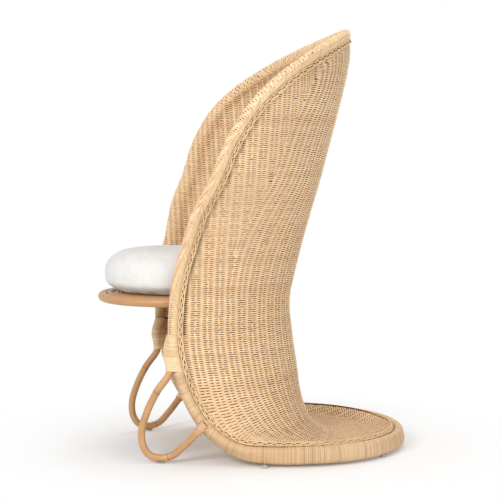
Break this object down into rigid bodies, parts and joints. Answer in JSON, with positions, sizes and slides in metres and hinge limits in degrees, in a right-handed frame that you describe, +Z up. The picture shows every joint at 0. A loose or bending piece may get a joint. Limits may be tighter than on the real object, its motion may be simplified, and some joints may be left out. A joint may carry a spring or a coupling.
{
  "type": "peacock chair",
  "caption": "Woven chair with a tall hooded back that runs down into a round woven base, a round coil seat on two looped legs and a loose round cushion.",
  "frame": {"origin": "on the floor, under the middle of the chair's length and width", "axes": "+Z up, +Y to the rear, from the seat towards the tail, +X to the right seen from the front"},
  "size_m": [0.9, 0.8556, 1.1493],
  "materials": {
    "pole": "smooth lacquered rattan pole",
    "binding": "glossy rattan peel, wound",
    "weave": "woven rattan core",
    "braid": "braided rattan core",
    "cloth": "plain off-white cloth",
    "screw": "plain steel",
    "glide": "light grey plastic"
  },
  "bodies": {
    "frame": {"woven_shell": "weave", "rim_pole": "pole", "base_pole": "pole", "rim_braid": "braid", "hood_binding": "binding", "base_binding": "binding", "right_leg": "pole", "right_leg_collar": "binding", "right_leg_wrap": "binding", "right_leg_glide": "glide", "right_side_glide": "glide", "right_rear_glide": "glide", "right_seat_screw": "screw", "right_leg_screw": "screw", "left_leg": "pole", "left_leg_collar": "binding", "left_leg_wrap": "binding", "left_leg_glide": "glide", "left_side_glide": "glide", "left_rear_glide": "glide", "left_seat_screw": "screw", "left_leg_screw": "screw", "seat_ring": "pole", "inner_seat_ring": "pole", "seat_coil": "pole", "front_cross_bar": "pole", "rear_cross_bar": "pole", "seat_back_bar": "pole"},
    "cushion": {"cushion": "cloth"}
  },
  "joints": [
    {"name": "cushion_lift", "type": "slide", "parent": "frame", "child": "cushion", "axis": [0, 0, 1], "range_m": [0, 0.12]}
  ]
}
